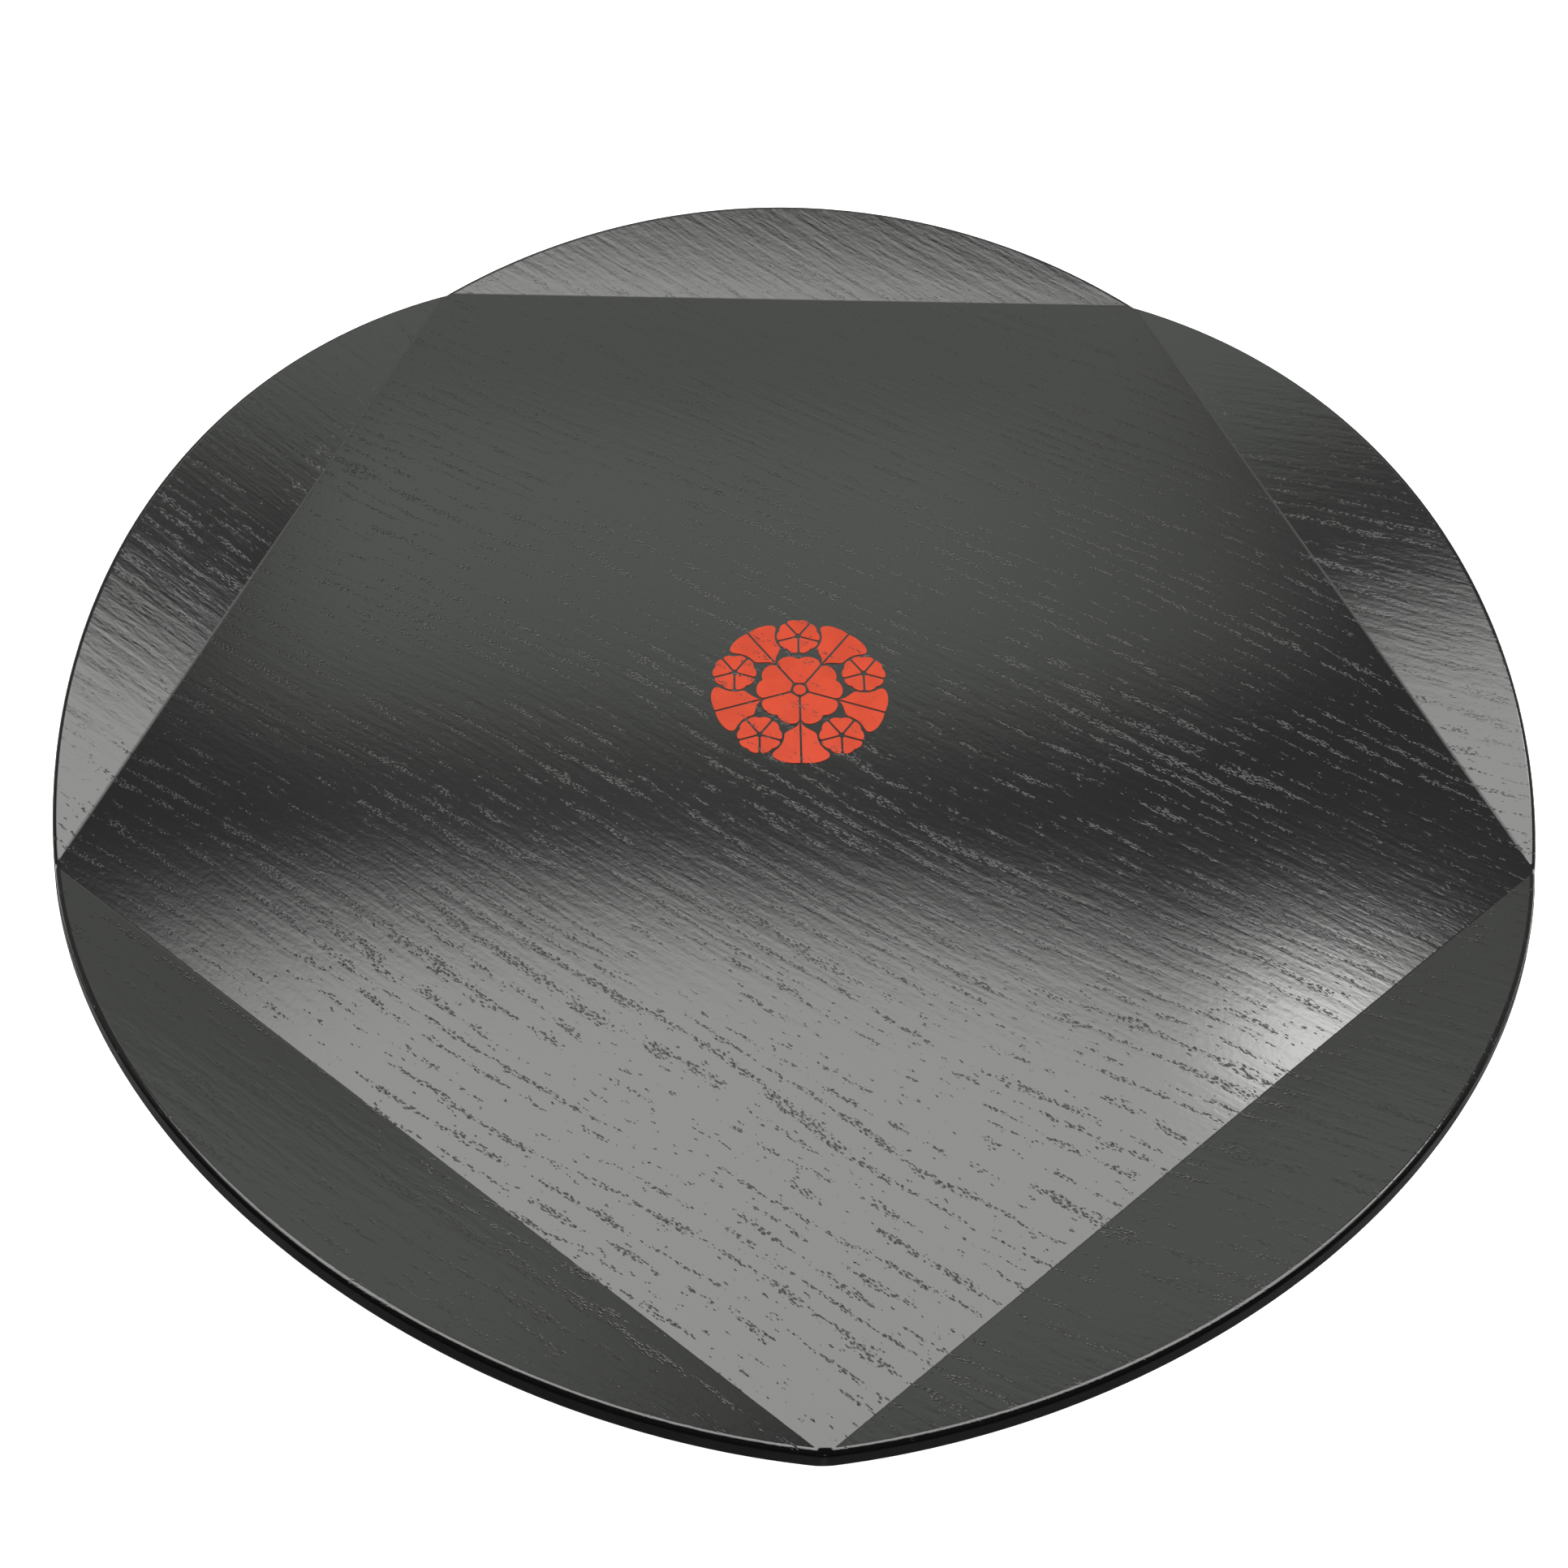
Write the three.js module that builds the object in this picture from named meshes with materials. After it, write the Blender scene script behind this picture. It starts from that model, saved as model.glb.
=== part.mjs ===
// Round serving tray pressed from five plies of veneer and lacquered black. The sheet is nearly a
// disc, and five straight folds turn its rim up into five shallow lobes round a pentagonal base.
// A roundel of red lacquer lies on the base. Millimetres, +Z up, and the origin is the centre of
// the flat underside. The corner where the two front lobes meet points along -Y.

import * as THREE from 'three';

// Driving dimensions of the sheet
const FOLD_COUNT = 5;
const PENTAGON_RADIUS = 169; // centre of the base to the point where two fold lines would cross
const LOBE_DEPTH = 30.3; // fold line to rim at the middle of a lobe, along the lobe
const LOBE_TILT = THREE.MathUtils.degToRad(22);
const FOLD_RADIUS = 1.5; // on the upper, hollow side of a fold
const CORNER_REACH = 0.46; // a corner's rim to the point inside it where two bends meet
const RIM_ROUND = 1.2; // radius sanded on both arrises of the rim

const PLIES = [
  { name: 'face_veneer', thickness: 0.6, colour: '#17191a', roughness: 0.2 },
  { name: 'upper_cross_ply', thickness: 1.2, colour: '#3a2a1c', roughness: 0.6 },
  { name: 'core_ply', thickness: 1.4, colour: '#4a3624', roughness: 0.6 },
  { name: 'lower_cross_ply', thickness: 1.2, colour: '#3a2a1c', roughness: 0.6 },
  { name: 'back_veneer', thickness: 0.6, colour: '#17191a', roughness: 0.25 },
];

// Driving dimensions of the red roundel
const CREST_CENTRE = new THREE.Vector2(-1, -4);
const CREST_FILM = 0.15; // how far the red lacquer stands above the black
const CREST_GAP = 0.5; // black line left between two red shapes
const HEART_RADIUS = 1.5;
const PETAL_TIP = 10.4; // centre of the roundel to the tips of the five large petals
const PETAL_WIDTH = 9.6;
const PETAL_NOTCH = 1.3; // how deep the tip of a large petal is notched
const BLOSSOM_RADIUS = 5.2;
const BLOSSOM_PETAL_WIDTH = 5.1;
const BLOSSOM_NOTCH = 0.45;
const LEAF_SWEEP = THREE.MathUtils.degToRad(52); // how far a fan leaf's flank follows a blossom

// Facets along the curves
const LOBE_STEPS = 24;
const FOLD_STEPS = 4;
const ROUND_STEPS = 5;
const CREST_STEPS = 8;

// Sizes that follow
const thickness = PLIES.reduce((sum, ply) => sum + ply.thickness, 0);
const sector = (2 * Math.PI) / FOLD_COUNT;
const apothem = PENTAGON_RADIUS * Math.cos(sector / 2);
const foldTangent = FOLD_RADIUS * Math.tan(LOBE_TILT / 2); // fold line to where the bend begins
const bendStart = apothem - foldTangent; // centre of the base to where a bend begins
const cornerRadius = bendStart / Math.cos(sector / 2) + CORNER_REACH; // centre to a corner's rim
const halfFold = Math.sqrt(cornerRadius ** 2 - apothem ** 2); // where the rim crosses a fold line
const rimArcRadius = (halfFold ** 2 + LOBE_DEPTH ** 2) / (2 * LOBE_DEPTH);
const rimArcCentre = apothem + LOBE_DEPTH - rimArcRadius; // along the lobe's own middle line
const blossomPlace = PETAL_TIP + CREST_GAP + BLOSSOM_RADIUS; // centre of the roundel to a blossom's
const crestRadius = blossomPlace + BLOSSOM_RADIUS;

// The sheet is described flat, before it is pressed: `out` is the distance beyond a fold line and
// `along` the distance from that side's middle. Pressing bends everything beyond the fold line
// upwards, and a layer deeper in the sheet bends on a larger radius about the same centre.
function pressed(side, along, out, depth) {
  const bendRadius = FOLD_RADIUS + depth;
  let reach = apothem + out;
  let height = thickness - depth;
  if (out > -foldTangent) {
    const turn = LOBE_TILT * Math.min((out + foldTangent) / (2 * foldTangent), 1);
    const straight = Math.max(out - foldTangent, 0);
    reach = apothem - foldTangent + bendRadius * Math.sin(turn) + straight * Math.cos(turn);
    height = thickness + FOLD_RADIUS - bendRadius * Math.cos(turn) + straight * Math.sin(turn);
  }
  const angle = (side + 0.5) * sector - Math.PI / 2;
  return [
    reach * Math.cos(angle) - along * Math.sin(angle),
    reach * Math.sin(angle) + along * Math.cos(angle),
    height,
  ];
}

// The rim at a depth, drawn in by the rounded arrises. A lobe ends in an arc in its own plane, and
// at a corner the rim runs on round the tray's centre. There it lies beyond the point where the
// bends of two sides meet, except near both faces, and the two bends end at their mitre.
function rimAt(depth) {
  const reach = Math.max(RIM_ROUND - Math.min(depth, thickness - depth), 0);
  const arc = rimArcRadius - RIM_ROUND + Math.sqrt(RIM_ROUND ** 2 - reach ** 2);
  const lobeHalf = Math.sqrt(arc ** 2 - (apothem + foldTangent - rimArcCentre) ** 2);
  const bendRadius = FOLD_RADIUS + depth;
  const corner = Math.hypot(bendStart + bendRadius * Math.sin(LOBE_TILT), lobeHalf);
  const beyond = corner * Math.cos(sector / 2) - bendStart;
  return { arc, lobeHalf, bendRadius, corner, beyond };
}

// One side's stretch of the rim, counter-clockwise: the corner, the bend, the lobe, the bend
function rimStretch(side, depth) {
  const { arc, lobeHalf, bendRadius, corner, beyond } = rimAt(depth);
  const outAt = (turn) => foldTangent * ((2 * turn) / LOBE_TILT - 1);
  const mitreTurn = beyond > 0 ? Math.asin(beyond / bendRadius) : 0;
  const first = beyond > 0 ? 1 : 0;
  const bend = Array.from({ length: FOLD_STEPS + 1 }, (_, i) => {
    const turn = mitreTurn + ((LOBE_TILT - mitreTurn) * (i + first)) / (FOLD_STEPS + first);
    const reach = bendStart + bendRadius * Math.sin(turn);
    return { out: outAt(turn), along: Math.sqrt(corner ** 2 - reach ** 2) };
  });
  const lobeEnd = Math.asin(lobeHalf / arc);
  const lobe = Array.from({ length: LOBE_STEPS - 1 }, (_, i) => {
    const angle = lobeEnd * ((2 * (i + 1)) / LOBE_STEPS - 1);
    return {
      out: rimArcCentre + arc * Math.cos(angle) - apothem,
      along: arc * Math.sin(angle),
    };
  });
  const tip = {
    out: beyond > 0 ? outAt(mitreTurn) : beyond - foldTangent,
    along: -corner * Math.sin(sector / 2),
  };
  return [
    tip,
    ...bend.map(({ out, along }) => ({ out, along: -along })),
    ...lobe,
    ...bend.slice().reverse(),
  ].map(({ out, along }) => pressed(side, along, out, depth));
}

// Triangles of one face of a ply, as places in its rim loop. If the rim's corners lie beyond the
// points where two bends meet, those points follow the loop and bound the flat base.
function faceTriangles(meets) {
  const perSide = 1 + 2 * (FOLD_STEPS + 1) + (LOBE_STEPS - 1);
  const count = FOLD_COUNT * perSide;
  const triangles = [];
  const quad = (a, b, c, d) => triangles.push([a, b, c], [a, c, d]);
  const base = [];
  for (let side = 0; side < FOLD_COUNT; side += 1) {
    const low = side * perSide + 1;
    const high = low + perSide - 2;
    if (meets) {
      const meet = count + side;
      const nextMeet = count + ((side + 1) % FOLD_COUNT);
      base.push(meet);
      triangles.push([meet, low - 1, low], [nextMeet, high, (high + 1) % count]);
      quad(meet, low, high, nextMeet);
    } else {
      base.push(low - 1, low, high);
    }
    for (let i = 0; i < FOLD_STEPS; i += 1) quad(low + i, low + i + 1, high - i - 1, high - i);
    const lobeLow = low + FOLD_STEPS;
    for (let i = 0; i < LOBE_STEPS / 2 - 1; i += 1) {
      quad(lobeLow + i, lobeLow + i + 1, lobeLow + LOBE_STEPS - i - 1, lobeLow + LOBE_STEPS - i);
    }
    const crown = lobeLow + LOBE_STEPS / 2;
    triangles.push([crown - 1, crown, crown + 1]);
  }
  for (let i = 1; i < base.length - 1; i += 1) triangles.push([base[0], base[i], base[i + 1]]);
  return triangles;
}

// A ply is the sheet between two depths. Its edge stands square to the sheet, rounded where it
// meets an outer face.
function plyGeometry(top, bottom) {
  const roundDepths = Array.from({ length: ROUND_STEPS }, (_, i) => {
    const depth = RIM_ROUND * (1 - Math.cos(((i + 1) * Math.PI) / (2 * ROUND_STEPS)));
    return [depth, thickness - depth];
  }).flat();
  const depths = [top, ...roundDepths.filter((d) => d > top && d < bottom), bottom];
  depths.sort((a, b) => a - b);
  const loops = depths.map((depth) =>
    Array.from({ length: FOLD_COUNT }, (_, side) => rimStretch(side, depth)).flat(),
  );
  const count = loops[0].length;
  const points = loops.flat();
  const index = [];
  for (const [depth, start] of [[top, 0], [bottom, (loops.length - 1) * count]]) {
    const meets = rimAt(depth).beyond > 0;
    const meetStart = points.length;
    for (let side = 0; meets && side < FOLD_COUNT; side += 1) {
      points.push(pressed(side, -bendStart * Math.tan(sector / 2), -foldTangent, depth));
    }
    const place = (i) => (i < count ? start + i : meetStart + i - count);
    for (const [a, b, c] of faceTriangles(meets)) {
      index.push(...(depth === top ? [a, b, c] : [a, c, b]).map(place));
    }
  }
  for (let level = 0; level < loops.length - 1; level += 1) {
    for (let i = 0; i < count; i += 1) {
      const here = level * count + i;
      const next = level * count + ((i + 1) % count);
      index.push(here, here + count, next + count, here, next + count, next);
    }
  }
  const geometry = new THREE.BufferGeometry();
  geometry.setAttribute('position', new THREE.Float32BufferAttribute(points.flat(), 3));
  geometry.setIndex(index);
  geometry.computeVertexNormals();
  return geometry;
}

const tray = new THREE.Group();
let depthSoFar = 0;
for (const { name, thickness: plyThickness, colour, roughness } of PLIES) {
  const material = new THREE.MeshStandardMaterial({ color: colour, roughness, metalness: 0 });
  const top = depthSoFar;
  depthSoFar += plyThickness;
  const ply = new THREE.Mesh(plyGeometry(top, depthSoFar), material);
  ply.name = name;
  tray.add(ply);
}

// Red shapes of the roundel. Each is drawn along +X and stands on the base's upper face.
const red = new THREE.MeshStandardMaterial({ color: '#d8492f', roughness: 0.35, metalness: 0 });

function film(name, shape) {
  const geometry = new THREE.ExtrudeGeometry(shape, {
    depth: CREST_FILM,
    bevelEnabled: false,
    curveSegments: CREST_STEPS,
  });
  const mesh = new THREE.Mesh(geometry, red);
  mesh.name = name;
  return mesh;
}

// Where a petal of this width stops widening: its straight flanks lie half a gap inside the sector
function petalShoulder(width) {
  const apex = CREST_GAP / 2 / Math.sin(sector / 2);
  return new THREE.Vector2(apex + width / 2 / Math.tan(sector / 2), width / 2);
}

// One of five petals round a centre, from its root to a broad tip with a notch in the middle
function petal(root, tip, width, notch) {
  const slope = Math.tan(sector / 2);
  const shoulder = petalShoulder(width);
  const rootHalf = shoulder.y - (shoulder.x - root) * slope;
  const swell = (tip - shoulder.x) / 2;
  const bend = new THREE.Vector2(shoulder.x + swell, shoulder.y + swell * slope);
  const brow = new THREE.Vector2(tip + notch / 2, shoulder.y / 2);
  const shape = new THREE.Shape();
  shape.moveTo(root, rootHalf);
  shape.lineTo(shoulder.x, shoulder.y);
  shape.bezierCurveTo(bend.x, bend.y, brow.x, brow.y, tip - notch, 0);
  shape.bezierCurveTo(brow.x, -brow.y, bend.x, -bend.y, shoulder.x, -shoulder.y);
  shape.lineTo(root, -rootHalf);
  return shape;
}

// Half a fan leaf, with the midrib left black beside it. It grows from between two large petals,
// its flank follows a blossom's circle one gap away, and its tip lies on the roundel's circle.
function leafHalf(hand) {
  const rib = CREST_GAP / 2;
  const root = petalShoulder(PETAL_WIDTH).length() + 2 * CREST_GAP;
  const blossomAt = new THREE.Vector2(
    blossomPlace * Math.cos(sector / 2), blossomPlace * Math.sin(sector / 2));
  const flank = BLOSSOM_RADIUS + CREST_GAP;
  const end = new THREE.Vector2(
    blossomAt.x + flank * Math.sin(LEAF_SWEEP), blossomAt.y - flank * Math.cos(LEAF_SWEEP));
  const room = crestRadius - end.length();
  const shoulder = new THREE.Vector2(
    end.x + room * Math.cos(LEAF_SWEEP), end.y + room * Math.sin(LEAF_SWEEP));
  const shape = new THREE.Shape();
  shape.moveTo(root, rib);
  shape.bezierCurveTo(
    (root + blossomAt.x) / 2, CREST_GAP, (root + 2 * blossomAt.x) / 3, blossomAt.y - flank,
    blossomAt.x, blossomAt.y - flank);
  shape.absarc(blossomAt.x, blossomAt.y, flank, -Math.PI / 2, LEAF_SWEEP - Math.PI / 2, false);
  shape.bezierCurveTo(
    shoulder.x, shoulder.y, crestRadius, shoulder.y / 2, crestRadius - CREST_GAP, rib);
  shape.lineTo(root, rib);
  return hand > 0 ? shape : new THREE.Shape(shape.getPoints(CREST_STEPS)
    .map(({ x, y }) => new THREE.Vector2(x, -y)).reverse());
}

const crest = new THREE.Group();
crest.position.set(CREST_CENTRE.x, CREST_CENTRE.y, thickness);
tray.add(crest);

const heart = new THREE.Shape();
heart.absarc(0, 0, HEART_RADIUS, 0, 2 * Math.PI);
crest.add(film('crest_heart', heart));

for (let i = 0; i < FOLD_COUNT; i += 1) {
  const number = i + 1;
  const onAxis = new THREE.Group();
  onAxis.rotation.z = i * sector + Math.PI / 2;
  crest.add(onAxis);
  onAxis.add(film(`crest_petal_${number}`,
    petal(HEART_RADIUS + CREST_GAP, PETAL_TIP, PETAL_WIDTH, PETAL_NOTCH)));

  const blossom = new THREE.Group();
  blossom.position.x = blossomPlace;
  onAxis.add(blossom);
  for (let j = 0; j < FOLD_COUNT; j += 1) {
    const small = film(`crest_blossom_${number}_petal_${j + 1}`,
      petal(1.5 * CREST_GAP, BLOSSOM_RADIUS, BLOSSOM_PETAL_WIDTH, BLOSSOM_NOTCH));
    small.rotation.z = j * sector;
    blossom.add(small);
  }

  const between = new THREE.Group();
  between.rotation.z = (i + 0.5) * sector + Math.PI / 2;
  crest.add(between);
  for (const [side, hand] of [['left', 1], ['right', -1]]) {
    between.add(film(`crest_leaf_${number}_${side}`, leafHalf(hand)));
  }
}

export default tray;
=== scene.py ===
"""Black lacquered serving tray with five folded lobes and a red roundel, on a pale table."""

import math

import bpy
import numpy as np
from mathutils import Matrix, Vector


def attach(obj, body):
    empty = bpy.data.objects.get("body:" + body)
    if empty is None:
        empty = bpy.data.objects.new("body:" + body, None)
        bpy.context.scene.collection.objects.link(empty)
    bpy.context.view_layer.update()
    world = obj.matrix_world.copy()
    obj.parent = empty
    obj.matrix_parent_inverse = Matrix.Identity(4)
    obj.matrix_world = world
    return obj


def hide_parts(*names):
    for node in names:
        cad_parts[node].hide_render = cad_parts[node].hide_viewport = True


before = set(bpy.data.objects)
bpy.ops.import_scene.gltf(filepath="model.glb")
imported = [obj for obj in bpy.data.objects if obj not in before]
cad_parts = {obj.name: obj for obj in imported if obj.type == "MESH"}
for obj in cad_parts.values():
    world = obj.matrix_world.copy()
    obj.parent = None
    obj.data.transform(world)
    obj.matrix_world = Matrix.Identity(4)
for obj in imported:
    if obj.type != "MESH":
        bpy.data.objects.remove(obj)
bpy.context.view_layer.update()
scene = bpy.context.scene

# Camera
# It stands close in front of the tray and looks down at it from a little left of the front corner,
# with the slight roll of a hand-held shot. The frame is the photograph's square, 1932 pixels wide.
FRAME_PIXELS = 1932
FOCAL_PIXELS = 1783.2
CENTRE_PIXELS = (967.5, 966.1)
EYE = Vector((-0.01661, -0.20951, 0.27679))
AIM = Vector((-0.00477, -0.03052, 0.005))
ROLL = math.radians(3.484)

lens = bpy.data.cameras.new("camera")
lens.sensor_width = 36.0
lens.lens = FOCAL_PIXELS / FRAME_PIXELS * lens.sensor_width
lens.shift_x = -(CENTRE_PIXELS[0] - FRAME_PIXELS / 2) / FRAME_PIXELS
lens.shift_y = (CENTRE_PIXELS[1] - FRAME_PIXELS / 2) / FRAME_PIXELS
lens.clip_start = 0.01
camera = bpy.data.objects.new("camera", lens)
line_of_sight = (AIM - EYE).normalized()
level = line_of_sight.cross(Vector((0, 0, 1))).normalized()
rightward = level * math.cos(ROLL) + level.cross(line_of_sight) * math.sin(ROLL)
turn = Matrix((rightward, rightward.cross(line_of_sight), -line_of_sight)).transposed().to_4x4()
camera.matrix_world = Matrix.Translation(EYE) @ turn
scene.collection.objects.link(camera)
scene.camera = camera
scene.view_settings.view_transform = "Standard"


# Shader maths
# A wrapped socket, so that masks and mixes on the surface read as plain sums and products.
class Value:
    def __init__(self, tree, socket):
        self.tree, self.socket = tree, socket

    def node(self, kind, values, out=0, **settings):
        """Adds one node: its settings first, then the values or links of its named sockets."""
        made = self.tree.nodes.new(kind)
        for name, setting in settings.items():
            setattr(made, name, setting)
        for name, value in values.items():
            if isinstance(value, Value):
                self.tree.links.new(value.socket, made.inputs[name])
            else:
                made.inputs[name].default_value = value
        return Value(self.tree, made.outputs[out])

    def maths(self, operation, *others):
        return self.node("ShaderNodeMath", dict(enumerate((self, *others))), operation=operation)

    def __add__(self, other): return self.maths("ADD", other)
    def __mul__(self, other): return self.maths("MULTIPLY", other)
    def __sub__(self, other): return self.maths("SUBTRACT", other)
    def __truediv__(self, other): return self.maths("DIVIDE", other)
    def __rsub__(self, other): return self * -1 + other
    __radd__, __rmul__ = __add__, __mul__

    def smooth(self, low, high):
        """0 below low, 1 above high, with a smooth step between; low may be the larger."""
        return self.node("ShaderNodeMapRange", {"Value": self, "From Min": low, "From Max": high},
                         interpolation_type="SMOOTHSTEP")

    def mix(self, first, second):
        """The first colour where this is 0, the second where it is 1."""
        return self.node("ShaderNodeMix", {0: self, 6: first, 7: second}, out=2, data_type="RGBA")


def finish_named(name):
    """A new material: its principled shader, and the object's own coordinates to draw on."""
    material = bpy.data.materials.new(name)
    material.use_nodes = True
    tree = material.node_tree
    shader = tree.nodes["Principled BSDF"]
    place = tree.nodes.new("ShaderNodeTexCoord")
    return material, tree, shader, Value(tree, place.outputs["Object"])


# Table and room
# A pale table with broad soft panels 0.6 m above it, all dimmer towards their edges. The bright
# panel ends beyond the tray's back half. Past a dark gap come a dim panel and strip, and one small
# lamp hangs at the right. The room is dark behind the camera.
TABLE_REACH = 4
table_mesh = bpy.data.meshes.new("table_top")
table_mesh.from_pydata([(x * TABLE_REACH, y * TABLE_REACH, 0)
                        for x, y in ((-1, -1), (1, -1), (1, 1), (-1, 1))], [], [(0, 1, 2, 3)])
table = bpy.data.objects.new("table_top", table_mesh)
scene.collection.objects.link(table)
table_finish, tree, shader, _ = finish_named("pale_table")
shader.inputs["Base Color"].default_value = (0.93, 0.93, 0.92, 1)
shader.inputs["Roughness"].default_value = 0.9
shader.inputs["Specular IOR Level"].default_value = 0.1
table.data.materials.append(table_finish)

NEAR_TINT = (1.0, 1.0, 0.985)
FAR_TINT = (0.935, 1.0, 0.90)


def soft_panel(name, height, right, far, fade, glow, tint, bow=(0, 0)):
    """A level panel facing down that dims smoothly towards its edges. Right and far give its span
    along X and Y at half its glow, and fade how far each edge spreads along X and Y. The edges
    along X bow towards the camera by the square of the distance from bow's X, times its second
    value. No two share a height, because a ray sees only one of two lamps that lie in one plane."""
    width = right[1] - right[0] + fade[0]
    depth = far[1] - far[0] + fade[1]
    light = bpy.data.lights.new(name, "AREA")
    light.shape = "RECTANGLE"
    light.size, light.size_y = width, depth
    light.energy = glow * math.pi * width * depth
    light.color = tint
    light.use_nodes = True
    tree = light.node_tree
    across = tree.nodes.new("ShaderNodeSeparateXYZ")
    tree.links.new(tree.nodes.new("ShaderNodeNewGeometry").outputs["Parametric"], across.inputs[0])
    over, ahead = Value(tree, across.outputs[0]), Value(tree, across.outputs[1])
    aside = over * width + (right[0] - fade[0] / 2 - bow[0])
    ahead = ahead + aside * aside * (bow[1] / depth)
    share = 1
    for place, edge in ((over, fade[0] / width), (ahead, fade[1] / depth)):
        share = place.smooth(0, edge) * place.smooth(1, 1 - edge) * share
    tree.links.new(share.socket, tree.nodes["Emission"].inputs["Strength"])
    lamp = bpy.data.objects.new(name, light)
    lamp.location = (sum(right) / 2, sum(far) / 2, height)
    scene.collection.objects.link(lamp)
    return lamp


soft_panel("bright_panel", 0.600, (-0.42, 0.42), (-0.16, 0.262), (0.34, 0.125), 6.7, NEAR_TINT,
           bow=(-0.09, 0.34))
# It whitens the table in front of the tray and doesn't show in the lacquer.
front_panel = soft_panel("front_panel", 0.615, (-0.42, 0.42), (-0.90, -0.16), (0.34, 0.10), 6.7,
                         NEAR_TINT)
front_panel.visible_glossy = False
soft_panel("far_panel", 0.605, (-0.40, 0.44), (0.38, 1.3), (0.20, 0.12), 0.78, FAR_TINT,
           bow=(-0.10, -0.35))
soft_panel("far_strip", 0.610, (-0.44, 0.26), (0.45, 0.74), (0.30, 0.16), 0.58, FAR_TINT)
soft_panel("small_lamp", 0.595, (0.318, 0.44), (0.110, 0.210), (0.11, 0.14), 15.0, NEAR_TINT)

ROOM_GLOW, DARK_GLOW = 0.34, 0.04
world = bpy.data.worlds.new("room")
world.use_nodes = True
scene.world = world
tree = world.node_tree
way = Value(tree, tree.nodes.new("ShaderNodeTexCoord").outputs["Generated"])
axes = tree.nodes.new("ShaderNodeSeparateXYZ")
tree.links.new(way.socket, axes.inputs[0])
ahead = Value(tree, axes.outputs["Y"]).smooth(-0.25, 0.35)
glow = ahead * ROOM_GLOW + DARK_GLOW
tree.links.new(glow.socket, tree.nodes["Background"].inputs["Strength"])
tree.nodes["Background"].inputs["Color"].default_value = (1, 1, 1, 1)


# Pressed sheet
# Five plies of veneer pressed over one mould, folded up along five straight lines. The two outer
# veneers are lacquered black, and the lacquer runs over the edges of the plies between them.
PENTAGON_RADIUS = 0.169
LOBE_DEPTH = 0.0303
LOBE_TILT = math.radians(22)
FOLD_RADIUS = 0.0015
CORNER_REACH = 0.00046
RIM_ROUND = 0.0012
SHEET = 0.005
PLY_DEPTHS = {
    "face_veneer": (0.0, 0.0006),
    "upper_cross_ply": (0.0006, 0.0018),
    "core_ply": (0.0018, 0.0032),
    "lower_cross_ply": (0.0032, 0.0044),
    "back_veneer": (0.0044, 0.005),
}
SECTOR = 2 * math.pi / 5
APOTHEM = PENTAGON_RADIUS * math.cos(SECTOR / 2)
TANGENT = FOLD_RADIUS * math.tan(LOBE_TILT / 2)
BEND_START = APOTHEM - TANGENT
CORNER_RADIUS = BEND_START / math.cos(SECTOR / 2) + CORNER_REACH
HALF_FOLD = math.sqrt(CORNER_RADIUS**2 - APOTHEM**2)
RIM_ARC = (HALF_FOLD**2 + LOBE_DEPTH**2) / (2 * LOBE_DEPTH)
RIM_CENTRE = APOTHEM + LOBE_DEPTH - RIM_ARC
LOBE_STEPS, FOLD_STEPS, ROUND_STEPS = 96, 10, 5


def rim_loop(depth, inset):
    """Side, distance beyond the fold and place along it, for each point round the rim at a depth,
    drawn in by the inset: a corner, a bend, a lobe's arc and a bend again, five times. Also tells
    whether the corners lie beyond the points where two bends meet, on the bends' mitre."""
    arc = RIM_ARC - inset
    lobe_half = math.sqrt(arc**2 - (APOTHEM + TANGENT - RIM_CENTRE) ** 2)
    bend = FOLD_RADIUS + depth
    corner = math.hypot(BEND_START + bend * math.sin(LOBE_TILT), lobe_half)
    beyond = corner * math.cos(SECTOR / 2) - BEND_START
    mitre = math.asin(beyond / bend) if beyond > 0 else 0
    turn = np.linspace(mitre, LOBE_TILT, FOLD_STEPS + (2 if beyond > 0 else 1))[-FOLD_STEPS - 1:]
    bend_out = TANGENT * (2 * turn / LOBE_TILT - 1)
    bend_along = np.sqrt(corner**2 - (BEND_START + bend * np.sin(turn)) ** 2)
    tip_out = TANGENT * (2 * mitre / LOBE_TILT - 1) if beyond > 0 else beyond - TANGENT
    sweep = math.asin(lobe_half / arc) * np.linspace(-1, 1, LOBE_STEPS + 1)[1:-1]
    out = np.concatenate([
        [tip_out], bend_out, RIM_CENTRE + arc * np.cos(sweep) - APOTHEM, bend_out[::-1]])
    along = np.concatenate([
        [-corner * math.sin(SECTOR / 2)], -bend_along, arc * np.sin(sweep), bend_along[::-1]])
    side = np.repeat(np.arange(5), len(out))
    return side, np.tile(out, 5), np.tile(along, 5), beyond > 0


def pressed(side, out, along, depth):
    """Where a point of the flat sheet lies once pressed, with the sheet's upward normal there.
    The bend is a cylinder whose centre is the same for every depth."""
    turn = LOBE_TILT * np.clip((out + TANGENT) / (2 * TANGENT), 0, 1)
    straight = np.maximum(out - TANGENT, 0)
    flat = np.minimum(out + TANGENT, 0)
    bend = FOLD_RADIUS + depth
    reach = APOTHEM - TANGENT + flat + bend * np.sin(turn) + straight * np.cos(turn)
    height = SHEET + FOLD_RADIUS - bend * np.cos(turn) + straight * np.sin(turn)
    angle = (side + 0.5) * SECTOR - math.pi / 2
    away = np.stack([np.cos(angle), np.sin(angle), 0 * angle], -1)
    beside = np.stack([-np.sin(angle), np.cos(angle), 0 * angle], -1)
    up = np.array([0, 0, 1.0])
    points = away * reach[:, None] + beside * along[:, None] + up * height[:, None]
    normal = up * np.cos(turn)[:, None] - away * np.sin(turn)[:, None]
    return points, normal


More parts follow.
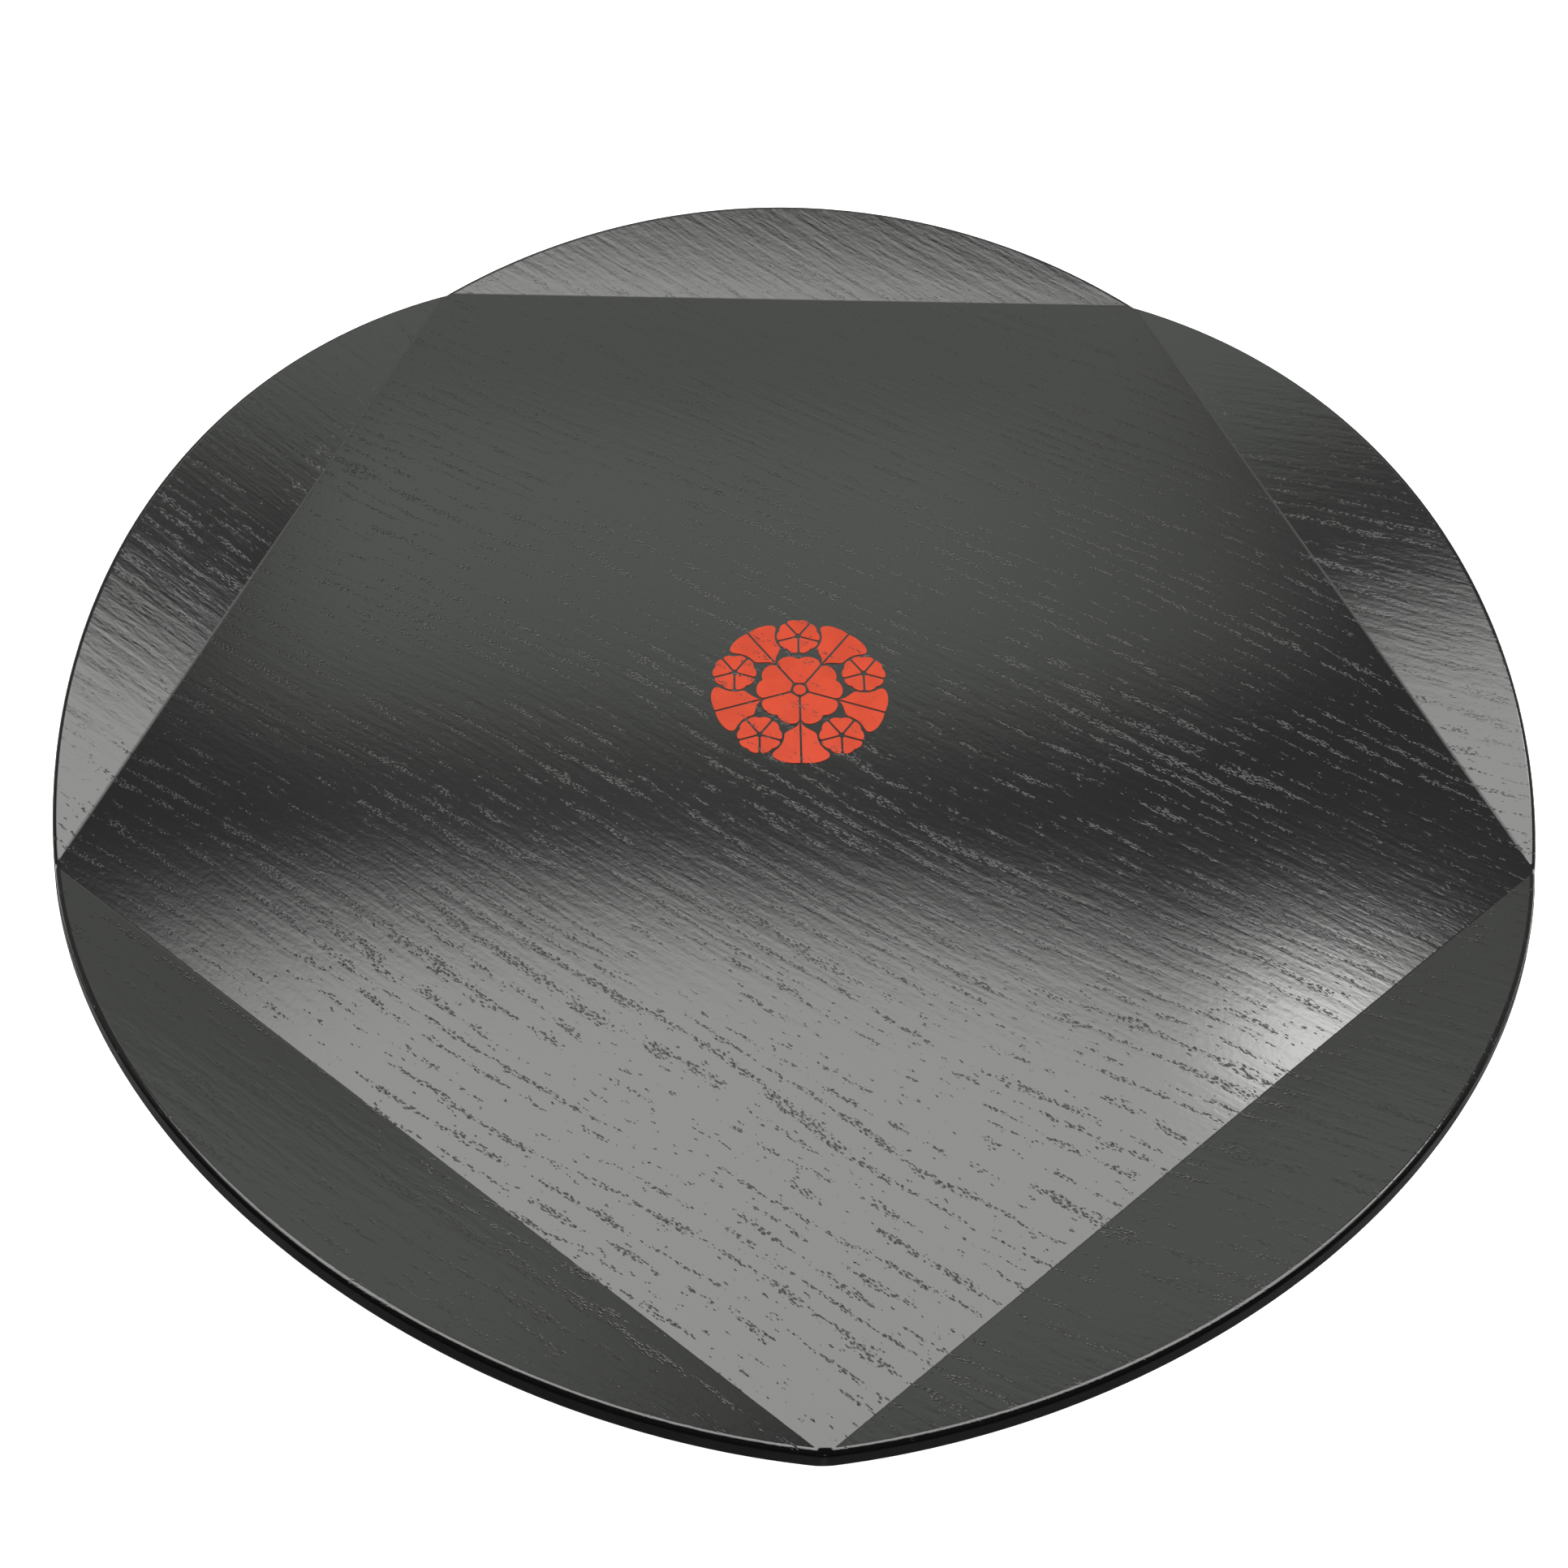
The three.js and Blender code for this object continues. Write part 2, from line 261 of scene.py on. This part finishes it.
def face_triangles(meets):
    """One face of a ply as places in its rim loop: base, bend strips and lobes. The points where
    two bends meet, if the rim's corners lie beyond them, follow the loop and bound the base."""
    per_side = 1 + 2 * (FOLD_STEPS + 1) + LOBE_STEPS - 1
    count = 5 * per_side
    low = np.arange(5) * per_side + 1
    high = low + per_side - 2
    i = np.arange(FOLD_STEPS)[None]
    j = np.arange(LOBE_STEPS // 2 - 1)[None]
    first, last = low[:, None], high[:, None]
    lobe = first + FOLD_STEPS
    quads = np.concatenate([
        np.stack([first + i, first + i + 1, last - i - 1, last - i], -1).reshape(-1, 4),
        np.stack([lobe + j, lobe + j + 1, lobe + LOBE_STEPS - j - 1, lobe + LOBE_STEPS - j],
                 -1).reshape(-1, 4)])
    crown = low + FOLD_STEPS + LOBE_STEPS // 2
    triangles = [np.stack([crown - 1, crown, crown + 1], -1)]
    base = np.stack([low - 1, low, high], -1).reshape(-1)
    if meets:
        base = count + np.arange(5)
        after = np.roll(base, -1)
        quads = np.concatenate([quads, np.stack([base, low, high, after], -1)])
        triangles += [np.stack([base, low - 1, low], -1),
                      np.stack([after, high, (high + 1) % count], -1)]
    fan = np.stack([np.full(len(base) - 2, base[0]), base[1:-1], base[2:]], -1)
    return np.concatenate([quads[:, [0, 1, 2]], quads[:, [0, 2, 3]], fan, *triangles])


def ply_mesh(name, top, bottom):
    """A closed ply between two depths of the sheet, shaded by the sheet's own normals."""
    arris = RIM_ROUND * (1 - np.cos(np.linspace(0, math.pi / 2, ROUND_STEPS + 1)))[1:]
    inner = [d for d in (*arris, *(SHEET - arris)) if top + 1e-6 < d < bottom - 1e-6]
    depths = np.sort([top, *inner, bottom])
    points, normals, meets = [], [], []
    for depth in depths:
        nearest = min(depth, SHEET - depth)
        reach = max(RIM_ROUND - nearest, 0) / RIM_ROUND
        side, out, along, meet = rim_loop(depth, RIM_ROUND * (1 - math.sqrt(1 - reach**2)))
        place, up = pressed(side, out, along, depth)
        forward = np.roll(place, -1, 0) - np.roll(place, 1, 0)
        outward = np.cross(forward, up)
        outward /= np.linalg.norm(outward, axis=1)[:, None]
        lean = reach if depth < SHEET / 2 else -reach
        points.append(place)
        normals.append(up * lean + outward * math.sqrt(1 - reach**2))
        meets.append(meet)
    count = len(points[0])
    here = (np.arange(len(depths) - 1)[:, None] * count + np.arange(count)).reshape(-1)
    beside = (np.arange(len(depths) - 1)[:, None] * count
              + (np.arange(count) + 1) % count).reshape(-1)
    faces = [np.stack([here, here + count, beside + count], -1),
             np.stack([here, beside + count, beside], -1)]
    for level, depth in ((0, top), (len(depths) - 1, bottom)):
        face = face_triangles(meets[level])
        added = sum(len(place) for place in points)
        if meets[level]:
            sides = np.arange(5)
            place, up = pressed(sides, np.full(5, -TANGENT),
                                np.full(5, -BEND_START * math.tan(SECTOR / 2)), depth)
            points.append(place)
            normals.append(up)
        face = np.where(face < count, face + level * count, face - count + added)
        faces.append(face if level == 0 else face[:, ::-1])
    mesh = bpy.data.meshes.new(name)
    mesh.from_pydata(np.concatenate(points).tolist(), [], np.concatenate(faces).tolist())
    mesh.shade_smooth()
    mesh.normals_split_custom_set_from_vertices(np.concatenate(normals).tolist())
    return mesh


GRAIN_TURN = math.radians(31)
RING_GAP = 0.0043


def grain(place):
    """The veneer's grain, over a plane turned along it. Growth rings lie a few millimetres apart
    and waver together, and open pores crowd along broken stretches of them. Returns how deep a pore
    is at a point, from 0 to 1, how crowded the pores are there, and the streaks along the grain."""
    bend = place.node("ShaderNodeTexNoise", {"Vector": place, "Scale": 5.0, "Detail": 1.0})
    spin = place.node("ShaderNodeMapping", {"Vector": place, "Rotation": (0, 0, GRAIN_TURN)})
    split = place.tree.nodes.new("ShaderNodeSeparateXYZ")
    place.tree.links.new(spin.socket, split.inputs[0])
    run, over = Value(place.tree, split.outputs[0]), Value(place.tree, split.outputs[1])
    over = over + (bend - 0.5) * 0.020

    def stretched(run_scale, over_scale, shift=0.0):
        return place.node("ShaderNodeCombineXYZ",
                          {"X": run * run_scale, "Y": over * over_scale, "Z": shift})

    def clouds(run_scale, over_scale, detail, shift):
        return place.node("ShaderNodeTexNoise", {"Vector": stretched(run_scale, over_scale, shift),
                                                 "Scale": 1.0, "Detail": detail})

    def pores(run_scale, over_scale, crowd, shift):
        cell = {"Vector": stretched(run_scale, over_scale, shift), "Scale": 1.0}
        away = place.node("ShaderNodeTexVoronoi", cell)
        chance = place.node("ShaderNodeTexVoronoi", cell, out="Color")
        size = (crowd * (chance * 0.34 + 0.34)).maths("MAXIMUM", 0.02)
        return (1 - (away / size).maths("POWER", 1.5)).maths("MAXIMUM", 0)

    ring = (over / RING_GAP + clouds(9.0, 60.0, 1.0, 1.0) * 2.6
            + clouds(45.0, 260.0, 1.0, 9.0) * 0.7).maths("PINGPONG", 0.5)
    patch = clouds(110.0, 420.0, 2.0, 3.0)
    region = clouds(18.0, 60.0, 1.0, 7.0)
    crowd = (ring * 0.7 + patch * 0.6 + region * 0.4).smooth(0.735, 0.855)
    crowd = crowd.maths("MAXIMUM", clouds(300.0, 900.0, 1.0, 11.0).smooth(0.64, 0.70) * 0.9)
    pore = pores(1050.0, 3100.0, crowd, 0.0)
    streak = clouds(330.0, 1200.0, 2.0, 5.0) + clouds(40.0, 420.0, 1.0, 13.0) * 2.0
    return pore, crowd, streak


PORE_DEPTH = 62e-6
CROWD_DIP = 5e-6
DIMPLE_HEIGHT = 11e-6
WAVE_HEIGHT = 60e-6
STREAK_HEIGHT = 16e-6
LOBE_STREAK_HEIGHT = 11e-6
LOBE_RISE = (SHEET + 0.0005, SHEET + 0.0030)
BACK_PART = (0.02, 0.09)
DULL_FROM = (BEND_START - 0.0003, BEND_START)
DULL_UNTIL = (BEND_START + 0.0008, BEND_START + 0.0005)
BACK_FOLDS_START = (-0.054, -0.044)


def black_lacquer(name, roughness):
    """Black lacquer over open grain. It dips at the pores, which are fuller on the lobes and on the
    base's back part, swells in streaks along the grain, most of all on the lobes, has the faint
    dimples of a sprayed coat, and follows the sheet's own slight waviness. Along the three back
    folds it is duller."""
    material, tree, shader, place = finish_named(name)
    pore, crowd, streak = grain(place)
    split = tree.nodes.new("ShaderNodeSeparateXYZ")
    tree.links.new(place.socket, split.inputs[0])
    right, far, up = (Value(tree, split.outputs[axis]) for axis in "XYZ")
    lobe = up.smooth(*LOBE_RISE)
    pore = pore * (1 - lobe * 0.65) * (1 - far.smooth(*BACK_PART) * 0.45)
    reach = right * 0
    for side in range(5):
        angle = (side + 0.5) * SECTOR - math.pi / 2
        reach = (right * math.cos(angle) + far * math.sin(angle)).maths("MAXIMUM", reach)
    fold = reach.smooth(*DULL_FROM) * reach.smooth(*DULL_UNTIL) * far.smooth(*BACK_FOLDS_START)
    dimple = place.node("ShaderNodeTexNoise", {"Vector": place, "Scale": 800.0, "Detail": 1.0})
    wave = place.node("ShaderNodeTexNoise", {"Vector": place, "Scale": 26.0, "Detail": 1.0})
    height = (pore * -PORE_DEPTH + crowd * -CROWD_DIP + dimple * DIMPLE_HEIGHT
              + wave * WAVE_HEIGHT + streak * (lobe * LOBE_STREAK_HEIGHT + STREAK_HEIGHT))
    bump = place.node("ShaderNodeBump", {"Height": height, "Distance": 1.0, "Strength": 1.0})
    tree.links.new(bump.socket, shader.inputs["Normal"])
    cloud = place.node("ShaderNodeTexNoise", {"Vector": place, "Scale": 22.0, "Detail": 3.0})
    rough = (cloud * 0.03 + roughness).maths("MAXIMUM", pore.smooth(0.1, 0.7) * 0.44)
    rough = rough.maths("MAXIMUM", fold * 0.36)
    tree.links.new(rough.socket, shader.inputs["Roughness"])
    shader.inputs["Base Color"].default_value = (0.0011, 0.0011, 0.0011, 1)
    return material


face_lacquer = black_lacquer("black_lacquer_over_face", 0.12)
back_lacquer = black_lacquer("black_lacquer_under", 0.22)
rim_lacquer, tree, shader, place = finish_named("dull_black_rim")
shader.inputs["Base Color"].default_value = (0.0008, 0.0008, 0.0008, 1)
shader.inputs["Specular IOR Level"].default_value = 0.005
rub = place.node("ShaderNodeTexNoise", {"Vector": place, "Scale": 120.0, "Detail": 2.0})
tree.links.new((rub * 0.2 + 0.35).socket, shader.inputs["Roughness"])
for ply, (top, bottom) in PLY_DEPTHS.items():
    sheet = bpy.data.objects.new("lacquered_" + ply, ply_mesh("lacquered_" + ply, top, bottom))
    scene.collection.objects.link(sheet)
    finish = {"face_veneer": face_lacquer, "back_veneer": back_lacquer}.get(ply, rim_lacquer)
    sheet.data.materials.append(finish)
    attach(sheet, "root")
    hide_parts(ply)


# Red roundel
# Islands of red lacquer laid over the black through a stencil. The film is thin, so the grain's
# open pores show through it as black specks.
red_lacquer, tree, shader, place = finish_named("red_lacquer_film")
pore, _, _ = grain(place)
tone = place.node("ShaderNodeTexNoise", {"Vector": place, "Scale": 160.0, "Detail": 3.0})
paint = tone.smooth(0.35, 0.65).mix((0.219, 0.0155, 0.0020, 1), (0.243, 0.0190, 0.0035, 1))
paint = pore.smooth(0.3, 0.7).mix(paint, (0.010, 0.006, 0.005, 1))
tree.links.new(paint.socket, shader.inputs["Base Color"])
shader.inputs["Roughness"].default_value = 0.32
shader.inputs["Specular IOR Level"].default_value = 0.25
bump = place.node("ShaderNodeBump", {"Height": pore * -20e-6 + tone * 6e-6,
                                     "Distance": 1.0, "Strength": 1.0})
tree.links.new(bump.socket, shader.inputs["Normal"])
for node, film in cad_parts.items():
    if node.startswith("crest_"):
        film.data.materials.clear()
        film.data.materials.append(red_lacquer)
